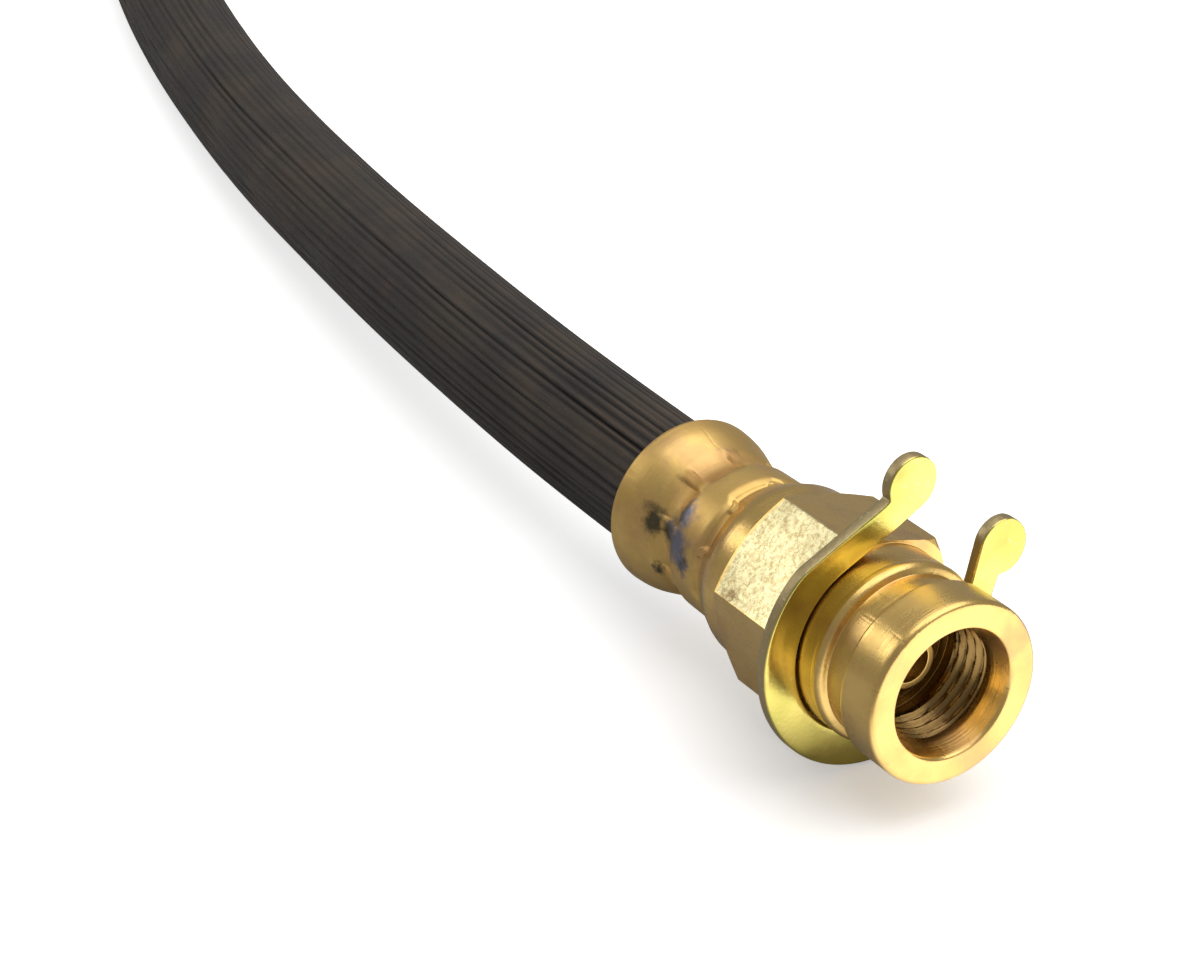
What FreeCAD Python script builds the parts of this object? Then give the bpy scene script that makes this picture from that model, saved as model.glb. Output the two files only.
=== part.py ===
import FreeCAD, Part
import math
import os

# Hydraulic brake hose with a female port fitting, its horseshoe clip and a male end fitting.
# Millimetres. The port fitting's axis is the X axis, its flat nose face is at X = 0 and it
# points along +X. +Z is up. The clip, the hose and the far hex all touch the plane Z = -10.

# ---- driving dimensions -------------------------------------------------------------------
# Hose layers, outer radii from the bore outwards
bore_radius = 1.6
inner_tube_radius = 2.4
inner_braid_radius = 2.9
cushion_radius = 3.3
outer_braid_radius = 3.8
hose_radius = 5.45

# Crimped shell, the same on both fittings
crimp_squeeze = 0.85
shell_wall = 1.15
crimp_depth = 0.3
crimp_length = 12.4
bell_length = 4.9
bell_rise = 1.15
waist_length = 2.0
mouth_flare = 0.85
bell_clearance = 0.05
step_width = 0.7
pocket_overlap = 0.8

# Hexagon, the same on both fittings
hex_across_flats = 14.29
hex_length = 8.2
hex_chamfer = 0.55
hex_phase = 45.7
end_hex_phase = 0.0
shoulder_length = 4.0
shoulder_land = 2.4
shoulder_rise = 0.3

# Nose of the port fitting
nose_radius = 7.0
nose_length = 3.7
nose_edge = 0.25
groove_width = 2.4
groove_depth = 0.7
ridge_length = 0.95
neck_length = 2.85
neck_drop = 0.05

# Threaded port: plain counterbore, thread crests, relief, and the flare seat at the bottom
counterbore_radius = 4.85
counterbore_depth = 1.3
counterbore_lead = 0.3
thread_relief = 0.2
relief_length = 2.4
thread_major_radius = 4.7625
thread_crest_radius = 4.3
port_depth = 8.2
seat_base = 1.0
seat_height = 2.2
seat_top_radius = 2.0
seat_bore_radius = 1.5
seat_clearance = 0.05

# Nipples inside the hose
stem_bore_radius = 1.0
stem_reach = 9.6

# Horseshoe clip
clip_clearance = 0.10
clip_ring_width = 2.7
clip_thickness = 1.0
clip_gap = 0.2
clip_opening_angle = 49.5
ear_radius = 2.1
ear_distance = 11.8
ear_half_angle = 28.0
arm_width = 2.3

# Male end fitting and its washer, which lies round an undercut at the foot of the thread
undercut_depth = 0.4
undercut_margin = 0.6
stub_length = 12.0
stub_chamfer = 0.7
collar_radius = 6.9
collar_length = 1.6
washer_radius = 6.8
washer_thickness = 1.2
washer_clearance = 0.08
washer_gap = 0.05

# ---- stations along the port fitting, measured back from the nose face ----------------------
groove_start = nose_length
ridge_start = groove_start + groove_width
neck_start = ridge_start + ridge_length
hex_start = neck_start + neck_length
hex_end = hex_start + hex_length
shell_start = hex_end + shoulder_length
pocket_bottom = shell_start - pocket_overlap
rim = pocket_bottom + crimp_length

hex_corner_radius = hex_across_flats / math.sqrt(3)
neck_radius = nose_radius - neck_drop
pocket_radius = hose_radius - crimp_squeeze
step_radius = pocket_radius + shell_wall
shell_radius = step_radius + crimp_depth
throat_radius = hose_radius + bell_clearance
clip_inner_radius = nose_radius + clip_clearance
clip_outer_radius = clip_inner_radius + clip_ring_width
relief_radius = thread_major_radius + thread_relief
seat_radius = thread_crest_radius - seat_clearance
collar_face = -hex_start + collar_length
stub_tip = collar_face + stub_length
undercut_end = collar_face + washer_gap + washer_thickness + undercut_margin

# The hose's centre line. The first point is the bottom of the port fitting's pocket and the
# last one is the bottom of the far fitting's pocket. The last run is level.
ROUTE = [
    (-pocket_bottom, 0.0, 0.0),
    (-45.0, 0.0, 0.0),
    (-70.0, 1.9, -0.6),
    (-98.0, 5.6, -1.95),
    (-128.0, 10.7, -3.55),
    (-157.0, 17.1, -4.55),
    (-184.0, 24.3, -4.55),
    (-211.0, 33.6, -4.55),
    (-235.0, 45.0, -4.55),
    (-256.0, 57.6, -2.85),
    (-274.0, 71.2, -2.85),
]
CORNER_SHARE = 0.45


def vector(point):
    return FreeCAD.Vector(*point)


def turned(outline):
    """Solid of revolution about the X axis from an outline of (x, radius) steps.

    A step of two numbers is the end of a straight line. A step of four numbers is an arc:
    a point on the way and then its end.
    """
    edges = []
    last = vector((outline[0][0], 0, outline[0][1]))
    for step in outline[1:] + outline[:1]:
        end = vector((step[-2], 0, step[-1]))
        if len(step) == 4:
            edges.append(Part.Arc(last, vector((step[0], 0, step[1])), end).toShape())
        elif end.distanceToPoint(last) > 1e-6:
            edges.append(Part.LineSegment(last, end).toShape())
        last = end
    face = Part.Face(Part.Wire(edges))
    return face.revolve(vector((0, 0, 0)), vector((1, 0, 0)), 360)


def cylinder(start_x, length, radius):
    return Part.makeCylinder(radius, length, vector((start_x, 0, 0)), vector((1, 0, 0)))


def hexagon_bar(start_x, length, phase):
    """Hexagonal bar along X whose first corner stands at the angle phase from +Y."""
    corners = []
    for i in range(7):
        angle = math.radians(phase + 60 * (i % 6))
        place = (start_x, hex_corner_radius * math.cos(angle), hex_corner_radius * math.sin(angle))
        corners.append(vector(place))
    face = Part.Face(Part.makePolygon(corners))
    return face.extrude(vector((length, 0, 0)))


def pocket_steps():
    """Inside of the crimped shell from its flared mouth forward to the pocket's bottom."""
    return [
        (-rim, throat_radius + mouth_flare),
        (-rim + 1.3, throat_radius),
        (-rim + 2.3, throat_radius),
        (-rim + 3.8, pocket_radius),
        (-pocket_bottom, pocket_radius),
    ]


def crimped_shell_steps():
    """Outside of the crimped shell from the shoulder's foot back to the rim, then its pocket.

    The narrow step, the bulge, the waist and the bell follow one another, and the bell's lip
    is rounded.
    """
    waist_end = rim - bell_length
    waist_start = waist_end - waist_length
    bulge_start = shell_start + step_width + 0.4
    edge_radius = shell_radius - 0.05
    bell_radius = step_radius + bell_rise
    return [
        (-shell_start, step_radius),
        (-shell_start - step_width, step_radius),
        (-bulge_start, shell_radius),
        (-(bulge_start + waist_start) / 2, shell_radius + 0.08, -waist_start, edge_radius),
        (-(waist_start + waist_end) / 2, step_radius - 0.03, -waist_end, edge_radius),
        (-(waist_end + rim) / 2 - 0.1, bell_radius - 0.1, -rim + 0.7, bell_radius),
        (-rim + 0.12, bell_radius - 0.12, -rim, bell_radius - 0.4),
    ] + pocket_steps()


def shoulder_steps():
    """Turned back of the hexagon: a steep chamfer, a plain land and a cone down to the shell."""
    flat_radius = hex_across_flats / 2
    return [
        (-hex_end + 0.4, hex_corner_radius),
        (-hex_end - 0.4, flat_radius),
        (-hex_end - shoulder_land, flat_radius - 0.05),
        (-shell_start, step_radius + shoulder_rise),
    ]


def make_port_body():
    """Turned envelope of the brass body, cut to a hexagon over the hexagon's length."""
    groove_radius = nose_radius - groove_depth
    outline = [
        (0.0, nose_radius - nose_edge),
        (-nose_edge * 0.3, nose_radius - nose_edge * 0.3, -nose_edge, nose_radius),
        (-groove_start + 0.3, nose_radius),
        (-groove_start, nose_radius - 0.3),
        (-groove_start - 0.1, groove_radius),
        (-ridge_start, groove_radius),
        (-ridge_start - 0.2, nose_radius - 0.2),
        (-ridge_start - 0.4, nose_radius),
        (-neck_start + 0.1, nose_radius),
        (-neck_start - 0.1, neck_radius),
        (-hex_start, neck_radius),
        (-hex_start, hex_corner_radius - hex_chamfer),
        (-hex_start - hex_chamfer * 0.6, hex_corner_radius),
    ]
    outline += shoulder_steps()
    outline += crimped_shell_steps()
    outline += [
        (-pocket_bottom, bore_radius),
        (-port_depth, bore_radius),
        (-port_depth, seat_radius),
        (-port_depth + seat_base, seat_radius),
        (-port_depth + seat_base, relief_radius),
        (-port_depth + seat_base + relief_length - 0.4, relief_radius),
        (-port_depth + seat_base + relief_length, thread_crest_radius),
        (-counterbore_depth - counterbore_lead, thread_crest_radius),
        (-counterbore_depth, counterbore_radius),
        (0.0, counterbore_radius),
    ]
    envelope = turned(outline)
    hexagon = hexagon_bar(-hex_end - 0.9, hex_length + 0.9, hex_phase)
    front = cylinder(-hex_start, hex_start + 1, nose_radius + 1)
    back = cylinder(-rim - 1, rim - hex_end + 0.1, hex_corner_radius + 1)
    return envelope.common(hexagon.fuse([front, back]))


def make_flare_seat():
    """Cone that a flared tube is pressed against, seated in the bottom of the port."""
    back = -port_depth
    return turned([
        (back, seat_radius),
        (back + seat_base, seat_radius),
        (back + seat_base + seat_height, seat_top_radius),
        (back + seat_base + seat_height, seat_bore_radius),
        (back, seat_bore_radius),
    ])


def stem_outline(front, back):
    """Nipple from front to back along X: a thin tube with a tapered far end."""
    return [
        (front, stem_bore_radius),
        (front, bore_radius),
        (back + 1.0, bore_radius),
        (back, bore_radius - 0.3),
        (back, stem_bore_radius),
    ]


def make_port_stem():
    return turned(stem_outline(-port_depth, -pocket_bottom - stem_reach))


def clip_outline_point(across, toward):
    """Point in the clip's plane, as Y and Z, from its places across and toward the opening."""
    opening = math.radians(clip_opening_angle)
    return (across * math.sin(opening) + toward * math.cos(opening),
            toward * math.sin(opening) - across * math.cos(opening))


def clip_plate(outline, back):
    """Flat plate with the given outline in the clip's plane."""
    corners = [vector((back, *clip_outline_point(*point))) for point in outline]
    face = Part.Face(Part.makePolygon(corners + corners[:1]))
    return face.extrude(vector((clip_thickness, 0, 0)))


def make_clip():
    """Flat open ring with two straight arms that close in, and a round ear on each arm.

    Each arm's inner edge is tangent to the ring's inside and to the ear.
    """
    back = -hex_start + clip_gap
    ear_angle = math.radians(ear_half_angle)
    centre = (ear_distance * math.sin(ear_angle), ear_distance * math.cos(ear_angle))
    turn = math.pi / 2 - ear_angle - math.acos((clip_inner_radius + ear_radius) / ear_distance)
    outward = (math.cos(turn), math.sin(turn))
    along = (-outward[1], outward[0])
    reach = centre[0] * along[0] + centre[1] * along[1]

    def at(out, forward, side):
        return (side * (out * outward[0] + forward * along[0]),
                out * outward[1] + forward * along[1])

    outer = clip_inner_radius + arm_width
    ring = cylinder(back, clip_thickness, clip_outer_radius)
    cuts = [clip_plate([(0, 0), at(clip_inner_radius, 0, 1), at(clip_inner_radius, reach, 1),
                        (0, 2 * clip_outer_radius), at(clip_inner_radius, reach, -1),
                        at(clip_inner_radius, 0, -1)], back)]
    leave = -math.sqrt(clip_outer_radius ** 2 - outer ** 2)
    ears = []
    for side in (1, -1):
        cuts.append(clip_plate([at(outer, leave, side), at(outer, reach, side),
                                at(2 * outer, reach, side), at(2 * outer, leave, side)], back))
        ears.append(clip_plate([at(clip_inner_radius, 0, side), at(clip_inner_radius, reach, side),
                                at(outer, reach, side), at(outer, 0, side)], back))
        place = clip_outline_point(side * centre[0], centre[1])
        ears.append(Part.makeCylinder(ear_radius, clip_thickness, vector((back, *place)),
                                      vector((1, 0, 0))))
    hole = cylinder(back, clip_thickness, clip_inner_radius)
    return ring.cut(cuts).fuse(ears).cut(hole).removeSplitter()


def route_wire(points):
    """Straight runs joined by tangent arcs. Prints each arc's radius."""
    corners = [vector(p) for p in points]
    runs = [b.distanceToPoint(a) for a, b in zip(corners, corners[1:])]
    edges = []
    radii = []
    start = corners[0]
    for i in range(1, len(corners) - 1):
        before = (corners[i - 1] - corners[i]).normalize()
        after = (corners[i + 1] - corners[i]).normalize()
        half_turn = (math.pi - before.getAngle(after)) / 2
        cut = CORNER_SHARE * min(runs[i - 1], runs[i])
        radius = cut / math.tan(half_turn)
        inward = (before + after).normalize()
        middle = corners[i] + inward * (radius / math.cos(half_turn) - radius)
        first = corners[i] + before * cut
        last = corners[i] + after * cut
        edges.append(Part.LineSegment(start, first).toShape())
        edges.append(Part.Arc(first, middle, last).toShape())
        radii.append(round(radius))
        start = last
    edges.append(Part.LineSegment(start, corners[-1]).toShape())
    print("bend radii", radii)
    return Part.Wire(edges)


def swept_rod(wire, radius):
    """Round rod of one radius along the whole route."""
    start = wire.Edges[0]
    circle = Part.makeCircle(radius, start.valueAt(start.FirstParameter),
                             start.tangentAt(start.FirstParameter))
    pipe = wire.makePipeShell([Part.Wire([circle])], True, False)
    if pipe.Volume < 0:
        pipe.reverse()
    return pipe


def swept_layer(wire, inner, outer):
    """One hose layer. Prints how near its volume is to its section times its length."""
    layer = swept_rod(wire, outer).cut(swept_rod(wire, inner))
    expected = math.pi * (outer ** 2 - inner ** 2) * wire.Length
    print("layer volume / section x length = %.5f" % (layer.Volume / expected))
    return layer


def shell_surroundings():
    """All that lies round the pocket, which squeezes the hose's end down to the pocket's size."""
    outer = hose_radius * 2
    return turned([(-rim, outer)] + pocket_steps() + [(-pocket_bottom, outer)])


def place_at_far_end(shape):
    """Moves a piece that was made like the port's, pocket towards -X, to the route's end."""
    end = vector(ROUTE[-1])
    way = (end - vector(ROUTE[-2])).normalize()
    heading = math.degrees(math.atan2(way.y, way.x))
    shape.translate(vector((pocket_bottom, 0, 0)))
    shape.rotate(vector((0, 0, 0)), vector((0, 0, 1)), heading)
    shape.translate(end)
    return shape


def make_end_body():
    """Male fitting: the same shell and hexagon, then a washer collar and the threaded stub."""
    undercut_radius = thread_major_radius - undercut_depth
    outline = [
        (stub_tip, thread_major_radius - stub_chamfer),
        (stub_tip - stub_chamfer, thread_major_radius),
        (undercut_end, thread_major_radius),
        (undercut_end - undercut_depth, undercut_radius),
        (collar_face, undercut_radius),
        (collar_face, collar_radius),
        (-hex_start, collar_radius),
        (-hex_start - 0.3, hex_corner_radius),
    ]
    outline += shoulder_steps()
    outline += crimped_shell_steps()
    outline += [(-pocket_bottom, bore_radius), (stub_tip, bore_radius)]
    envelope = turned(outline)
    hexagon = hexagon_bar(-hex_end - 0.9, hex_length + 0.9, end_hex_phase)
    front = cylinder(-hex_start, stub_tip + hex_start + 1, nose_radius + 1)
    back = cylinder(-rim - 1, rim - hex_end + 0.1, hex_corner_radius + 1)
    return place_at_far_end(envelope.common(hexagon.fuse([front, back])))


def make_end_stem():
    return place_at_far_end(turned(stem_outline(-hex_start, -pocket_bottom - stem_reach)))


def make_washer():
    inner = thread_major_radius + washer_clearance
    ring = cylinder(collar_face + washer_gap, washer_thickness, washer_radius)
    return place_at_far_end(ring.cut(cylinder(collar_face, washer_thickness * 2, inner)))


def main():
    os.makedirs("parts", exist_ok=True)
    port_body = make_port_body()
    end_body = make_end_body()
    wire = route_wire(ROUTE)
    print("hose length %.1f" % wire.Length)
    cover = swept_layer(wire, outer_braid_radius, hose_radius)
    cover = cover.cut([shell_surroundings(), place_at_far_end(shell_surroundings())])
    nodes = {
        "port_body": port_body,
        "flare_seat": make_flare_seat(),
        "port_stem": make_port_stem(),
        "retaining_clip": make_clip(),
        "hose_cover": cover,
        "outer_braid": swept_layer(wire, cushion_radius, outer_braid_radius),
        "cushion_layer": swept_layer(wire, inner_braid_radius, cushion_radius),
        "inner_braid": swept_layer(wire, inner_tube_radius, inner_braid_radius),
        "inner_tube": swept_layer(wire, bore_radius, inner_tube_radius),
        "end_body": end_body,
        "end_stem": make_end_stem(),
        "copper_washer": make_washer(),
    }
    for name, shape in nodes.items():
        solids = shape.Solids
        print(name, "solids", len(solids), "valid", shape.isValid(), "volume %.1f" % shape.Volume)
        solid = max(solids, key=lambda s: s.Volume)
        solid.exportStep(os.path.join("parts", name + ".step"))


main()
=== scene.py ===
"""Looks of a hydraulic brake hose: crimped brass fittings, a horseshoe clip and a ribbed hose."""
import math

import bmesh
import bpy
import numpy as np
from bpy.props import FloatProperty, FloatVectorProperty, IntProperty, PointerProperty
from mathutils import Matrix, Vector


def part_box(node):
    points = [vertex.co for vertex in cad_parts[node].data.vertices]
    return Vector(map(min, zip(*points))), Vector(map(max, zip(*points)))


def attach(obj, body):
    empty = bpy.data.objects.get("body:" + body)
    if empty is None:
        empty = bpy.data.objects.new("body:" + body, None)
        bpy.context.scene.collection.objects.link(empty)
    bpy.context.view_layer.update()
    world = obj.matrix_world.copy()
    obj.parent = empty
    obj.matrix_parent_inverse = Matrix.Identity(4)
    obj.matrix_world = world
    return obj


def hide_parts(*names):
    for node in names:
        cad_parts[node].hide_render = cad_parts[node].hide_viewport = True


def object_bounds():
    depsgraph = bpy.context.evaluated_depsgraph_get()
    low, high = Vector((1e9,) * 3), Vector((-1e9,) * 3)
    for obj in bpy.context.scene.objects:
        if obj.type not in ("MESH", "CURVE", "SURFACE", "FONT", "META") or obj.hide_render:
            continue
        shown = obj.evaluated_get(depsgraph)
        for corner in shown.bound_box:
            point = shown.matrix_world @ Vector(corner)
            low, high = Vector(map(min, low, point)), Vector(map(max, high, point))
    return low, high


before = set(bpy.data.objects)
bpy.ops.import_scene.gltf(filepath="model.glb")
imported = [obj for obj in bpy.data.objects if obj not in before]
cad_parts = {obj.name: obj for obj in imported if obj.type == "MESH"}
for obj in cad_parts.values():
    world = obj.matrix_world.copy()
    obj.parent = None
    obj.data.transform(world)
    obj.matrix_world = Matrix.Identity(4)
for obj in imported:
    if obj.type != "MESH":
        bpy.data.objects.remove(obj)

bl_info = {
    "name": "Brake hose",
    "version": (1, 0, 0),
    "blender": (4, 5, 0),
    "location": "3D View > Sidebar > Brake Hose",
    "description": "Builds a brake hose with its fittings, clip, washer and studio stage",
    "category": "Add Mesh",
}

CAD_BOX = [list(corner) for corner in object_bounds()]
MM = 0.001
TURN = 2 * math.pi

# The port fitting's axis is the X axis. Its stations come from the frame's boxes.
NOSE_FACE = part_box("port_body")[1][0]
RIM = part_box("port_body")[0][0]
PORT_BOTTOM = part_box("flare_seat")[0][0]
SEAT_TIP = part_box("flare_seat")[1][0]
CLIP_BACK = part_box("retaining_clip")[0][0]
CLIP_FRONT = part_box("retaining_clip")[1][0]
STEM_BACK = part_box("port_stem")[0][0]
FLOOR = CAD_BOX[0][2]

# Lengths along the fittings, back from the nose face.
GROOVE_START = 3.7 * MM
RIDGE_START = 6.1 * MM
NECK_START = 7.05 * MM
HEX_START = 9.9 * MM
HEX_END = 18.1 * MM
SHELL_START = 22.1 * MM
POCKET_BOTTOM = 21.3 * MM
THREAD_START = -1.7 * MM
WAIST_START = 26.8 * MM
WAIST_END = 28.8 * MM
THREAD_PITCH = 0.93 * MM

# Small sizes inside and round the fittings.
BORE_RADIUS = 1.6 * MM
SEAT_BASE = 1.0 * MM
SEAT_TOP_RADIUS = 2.0 * MM
SEAT_BORE_RADIUS = 1.5 * MM
STEM_RADIUS = 1.58 * MM
STEM_BORE_RADIUS = 1.0 * MM
STEM_REACH = 9.6 * MM
HEX_CHAMFER = 0.55 * MM
CLIP_EDGE = 0.16 * MM

# Spots of stain and wear: (millimetres back from the nose face, degrees round from +Y, distance
# from the axis in millimetres, the spot's radius in millimetres).
STAIN_SPOTS = (
    (29.2, 161, 5.9, 1.5),
    (27.3, 161, 5.8, 1.6),
    (26.3, 145, 6.0, 1.5),
    (25.9, 167, 6.0, 1.9),
    (24.9, 175, 6.0, 1.2),
    (28.6, 201, 5.9, 0.8),
)
WORN_SPOTS = (
    (16.2, 163, 8.0, 0.75),
)

# The hose's centre line: the same points as its solids have.
ROUTE = [
    (-0.0213, 0.0, 0.0),
    (-0.045, 0.0, 0.0),
    (-0.070, 0.0019, -0.0006),
    (-0.098, 0.0056, -0.00195),
    (-0.128, 0.0107, -0.00355),
    (-0.157, 0.0171, -0.00455),
    (-0.184, 0.0243, -0.00455),
    (-0.211, 0.0336, -0.00455),
    (-0.235, 0.0450, -0.00455),
    (-0.256, 0.0576, -0.00285),
    (-0.274, 0.0712, -0.00285),
]


# ---- sizes and colours a user would change --------------------------------------------------

def length(name, description, default):
    """Setting in metres."""
    return FloatProperty(name=name, description=description, default=default, min=0.0,
                         precision=5, subtype="DISTANCE", unit="LENGTH")


def angle(name, description, default):
    """Setting whose default is in degrees."""
    return FloatProperty(name=name, description=description, default=math.radians(default),
                         subtype="ANGLE", unit="ROTATION")


def colour(name, description, default):
    """Setting of a linear colour."""
    return FloatVectorProperty(name=name, description=description, default=default, size=3,
                               min=0.0, max=1.0, subtype="COLOR")


class FittingSettings(bpy.types.PropertyGroup):
    """Sizes and colours of the two brass fittings."""
    nose_radius: length("Nose radius", "Radius of the nose ring", 7.0 * MM)
    groove_radius: length("Groove radius", "Radius at the bottom of the clip groove", 6.3 * MM)
    neck_radius: length("Neck radius", "Radius of the neck behind the ridge", 6.95 * MM)
    hex_flats: length("Across flats", "Width of the hexagon across its flats", 14.29 * MM)
    hex_phase: angle("Hexagon turn", "Angle of the hexagon's first corner from +Y", 45.7)
    bell_radius: length("Bell radius", "Largest radius of the crimped bell", 6.9 * MM)
    step_radius: length("Step radius", "Radius of the narrow crimp step", 5.75 * MM)
    jaw_count: IntProperty(name="Jaws", description="Crimping jaws round the shell", default=9)
    jaw_depth: length("Jaw depth", "How deep the jaws press into the waist", 0.3 * MM)
    counterbore_radius: length("Counterbore", "Radius of the port's plain mouth", 4.85 * MM)
    crest_radius: length("Thread crest", "Radius of the port thread's crests", 4.3 * MM)
    thread_major: length("Thread major", "Major radius of both threads", 4.7625 * MM)
    brass: colour("Brass", "Colour of clean brass", (0.82, 0.56, 0.19))
    tarnish: colour("Tarnish", "Colour of handled, tarnished brass", (0.50, 0.30, 0.09))
    copper: colour("Copper", "Colour of the washer", (0.80, 0.36, 0.20))


class HoseSettings(bpy.types.PropertyGroup):
    """Sizes and colours of the hose."""
    radius: length("Radius", "Outside radius of the rubber cover", 5.45 * MM)
    pocket_radius: length("Pocket radius", "Radius of the hose where the shell grips it",
                          4.6 * MM)
    rib_count: IntProperty(name="Ribs", description="Fine ribs round the cover", default=44)
    rib_depth: length("Rib depth", "Depth between two ribs", 0.17 * MM)
    rubber: colour("Rubber", "Colour of the cover", (0.027, 0.023, 0.020))
    dust: colour("Dust", "Colour of dust and dried grease on the cover", (0.085, 0.066, 0.052))
    yarn: colour("Yarn", "Colour of the braid's yarn", (0.62, 0.57, 0.44))


class ClipSettings(bpy.types.PropertyGroup):
    """Sizes and colours of the horseshoe clip."""
    inner_radius: length("Inner radius", "Radius of the clip's inside", 7.1 * MM)
    outer_radius: length("Outer radius", "Radius of the clip's outside", 9.8 * MM)
    arm_width: length("Arm width", "Width of the two straight arms", 2.3 * MM)
    opening: angle("Opening", "Direction of the opening from +Y", 49.5)
    ear_radius: length("Ear radius", "Radius of each round ear", 2.1 * MM)
    ear_distance: length("Ear distance", "Distance of the ears' centres from the axis",
                         11.8 * MM)
    ear_spread: angle("Ear spread", "Angle from the opening to each ear", 28.0)
    ear_bend: angle("Ear bend", "How far the ears lean back", 3.0)
    yellow: colour("Yellow", "Colour of the plating", (0.84, 0.69, 0.19))
    olive: colour("Olive", "Green tint of the plating", (0.50, 0.46, 0.10))


# ---- curves and surfaces ---------------------------------------------------------------------

def smooth(low, high, value):
    """3t^2 - 2t^3, where t is how far value has gone from low to high."""
    t = np.clip((value - low) / (high - low), 0.0, 1.0)
    return t * t * (3.0 - 2.0 * t)


def window(low, high, soft, value):
    """1 between low and high and 0 outside, with ends that rise over the length soft."""
    return smooth(low - soft, low + soft, value) * (1 - smooth(high - soft, high + soft, value))


def ripple(seed, value, waves):
    """Sum of a few sine waves with seeded phases, between about -1 and 1."""
    source = np.random.default_rng(seed)
    total = np.zeros_like(np.asarray(value, dtype=float))
    for wave in waves:
        total = total + np.sin(wave * value + source.uniform(0, TURN))
    return total / len(waves)


def outline_grid(stations, count):
    """Closed outline in x and radius, for each of count angles.

    A station is (x, radius, edge, rows, zone). Each corner P is the curve
    (1-t)^2 A + 2t(1-t) P + t^2 B, whose ends A and B lie the length edge away from P along
    both runs. A run has rows rows after its corner. Returns x, radius and each row's zone.
    """
    points = []
    for x, radius, *_ in stations:
        points.append(np.stack(np.broadcast_arrays(x, radius, np.zeros(count))[:2], axis=-1))
    starts = []
    ends = []
    for i, (_, _, edge, _, _) in enumerate(stations):
        back = points[i - 1] - points[i]
        fore = points[(i + 1) % len(points)] - points[i]
        back_length = np.maximum(np.linalg.norm(back, axis=-1, keepdims=True), 1e-9)
        fore_length = np.maximum(np.linalg.norm(fore, axis=-1, keepdims=True), 1e-9)
        reach = np.minimum(edge, 0.45 * np.minimum(back_length, fore_length))
        starts.append(points[i] + back / back_length * reach)
        ends.append(points[i] + fore / fore_length * reach)
    rows = []
    zones = []
    for i, (_, _, edge, count_rows, zone) in enumerate(stations):
        following = starts[(i + 1) % len(points)]
        for t in (0.0, 0.25, 0.5, 0.75, 1.0) if edge > 0 else (1.0,):
            rows.append((1 - t) ** 2 * starts[i] + 2 * t * (1 - t) * points[i] + t * t * ends[i])
            zones.append(zone)
        for k in range(1, count_rows):
            rows.append(ends[i] + (following - ends[i]) * (k / count_rows))
            zones.append(zone)
    grid = np.array(rows)
    return grid[..., 0], grid[..., 1], np.array(zones)


def turned_points(x, radius, angles):
    """(x, r cos a, r sin a) for each row's x and radius and each angle a."""
    x, radius = np.broadcast_arrays(x, radius)
    return np.stack([x, radius * np.cos(angles), radius * np.sin(angles)], axis=-1)


def surface(name, points, zones=None, uv_size=(1.0, 1.0), sharp=38, close_rows=True):
    """Mesh object from points[row, column], closed round both ways.

    The face of row i and column j has the corners (i, j), (i+1, j), (i+1, j+1), (i, j+1). The
    map's u is the length along the rows and its v is the turn, both times uv_size. zones is a
    colour for each point, kept as the attribute zones.
    """
    rows, columns = points.shape[:2]
    spans = rows if close_rows else rows - 1
    i, j = np.meshgrid(np.arange(spans), np.arange(columns), indexing="ij")
    following_row = (i + 1) % rows
    following_column = (j + 1) % columns
    faces = np.stack([i * columns + j, following_row * columns + j,
                      following_row * columns + following_column, i * columns + following_column],
                     axis=-1).reshape(-1, 4)
    flat = points.reshape(-1, 3)
    a, b, c, d = (flat[faces[:, k]] for k in range(4))
    volume = np.einsum("ij,ij->i", a, np.cross(b, c)).sum()
    volume += np.einsum("ij,ij->i", a, np.cross(c, d)).sum()
    steps = np.linalg.norm(np.roll(points, -1, axis=0) - points, axis=-1).mean(axis=1)
    run = np.concatenate([[0.0], np.cumsum(steps)])
    u = np.stack([run[i], run[i + 1], run[i + 1], run[i]], axis=-1).reshape(-1, 4) * uv_size[0]
    v = np.stack([j, j, j + 1, j + 1], axis=-1).reshape(-1, 4) / columns * uv_size[1]
    if volume < 0:
        faces, u, v = faces[:, ::-1], u[:, ::-1], v[:, ::-1]
    mesh = bpy.data.meshes.new(name)
    mesh.vertices.add(len(flat))
    mesh.vertices.foreach_set("co", flat.astype(np.float32).ravel())
    mesh.loops.add(faces.size)
    mesh.loops.foreach_set("vertex_index", faces.astype(np.int32).ravel())
    mesh.polygons.add(len(faces))
    mesh.polygons.foreach_set("loop_start", np.arange(0, faces.size, 4, dtype=np.int32))
    mesh.update(calc_edges=True)
    layer = mesh.uv_layers.new(name="run_and_turn")
    layer.uv.foreach_set("vector", np.stack([u.ravel(), v.ravel()], -1).astype(np.float32).ravel())
    if zones is not None:
        attribute = mesh.color_attributes.new(name="zones", type="FLOAT_COLOR", domain="POINT")
        shown = np.concatenate([zones.reshape(-1, 3), np.ones((len(flat), 1))], axis=1)
        attribute.data.foreach_set("color", shown.astype(np.float32).ravel())
    mesh.shade_smooth()
    mesh.set_sharp_from_angle(angle=math.radians(sharp))
    mesh.validate()
    piece = bpy.data.objects.new(name, mesh)
    bpy.context.scene.collection.objects.link(piece)
    return piece


def dress(piece, material, body, slot, *nodes):
    """Gives a piece its material and its body and hides the nodes that it stands for. slot is not
    used.
    """
    piece.data.materials.append(material)
    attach(piece, body)
    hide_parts(*nodes)
    return piece


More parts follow.
